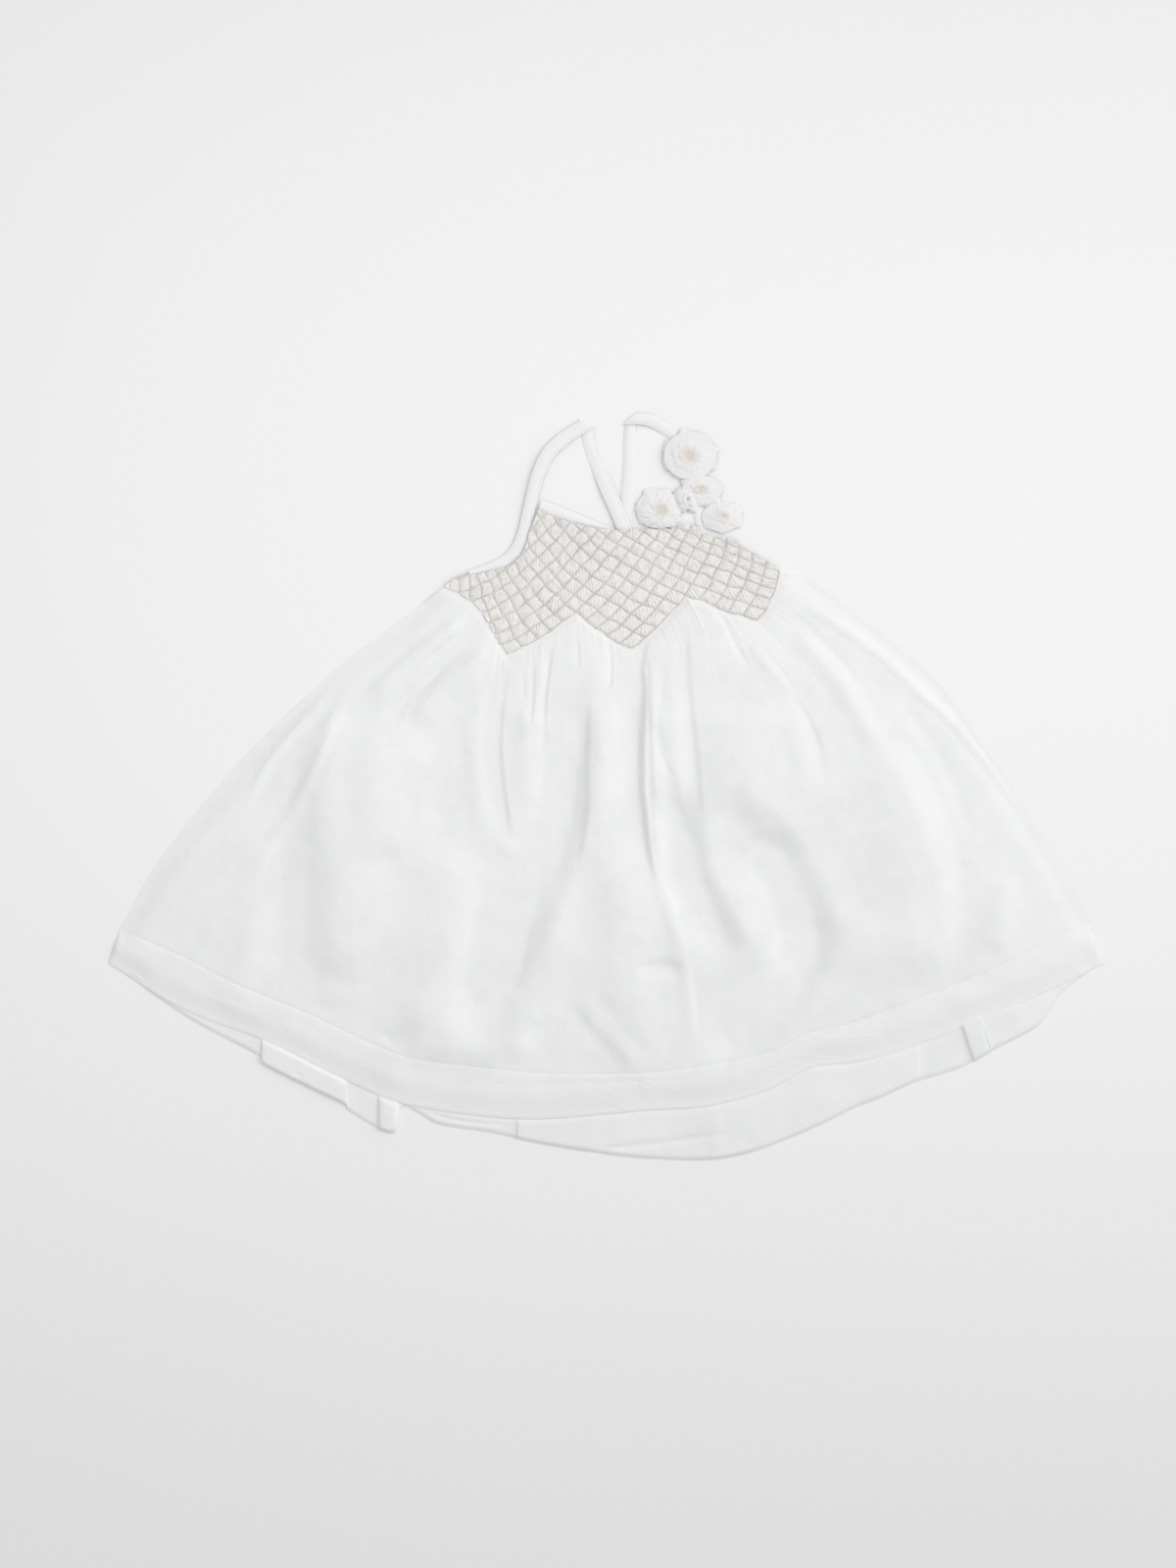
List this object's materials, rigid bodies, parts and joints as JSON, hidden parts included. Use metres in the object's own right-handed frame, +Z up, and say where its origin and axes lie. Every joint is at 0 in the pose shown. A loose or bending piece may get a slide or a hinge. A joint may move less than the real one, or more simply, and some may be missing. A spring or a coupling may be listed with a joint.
{
  "type": "toddler dress",
  "caption": "Toddler's sleeveless dress laid flat: smocked top with a pointed lower edge, wide gathered skirt, bias shoulder straps and cloth flowers.",
  "frame": {"origin": "on the surface the dress lies on, below the middle of its overall size", "axes": "+Z up out of the surface, +X to the right across the width, +Y towards the shoulder straps"},
  "size_m": [0.679, 0.5125, 0.0126],
  "materials": {
    "cotton": "thin white plain-weave cotton, soft and crumpled",
    "smocked_cotton": "white cotton gathered into puffed cells by beige thread",
    "bias_strip": "white cotton bias strip, folded and pressed",
    "petal_cloth": "sheer white cloth with beige in the middle"
  },
  "bodies": {
    "root": {"back": "cotton", "front_smocking": "smocked_cotton", "front_skirt": "cotton", "neck_binding": "bias_strip", "left_strap": "bias_strip", "right_strap": "bias_strip", "flower_1": "petal_cloth", "flower_2": "petal_cloth", "flower_3": "petal_cloth", "flower_4": "petal_cloth"}
  },
  "joints": []
}
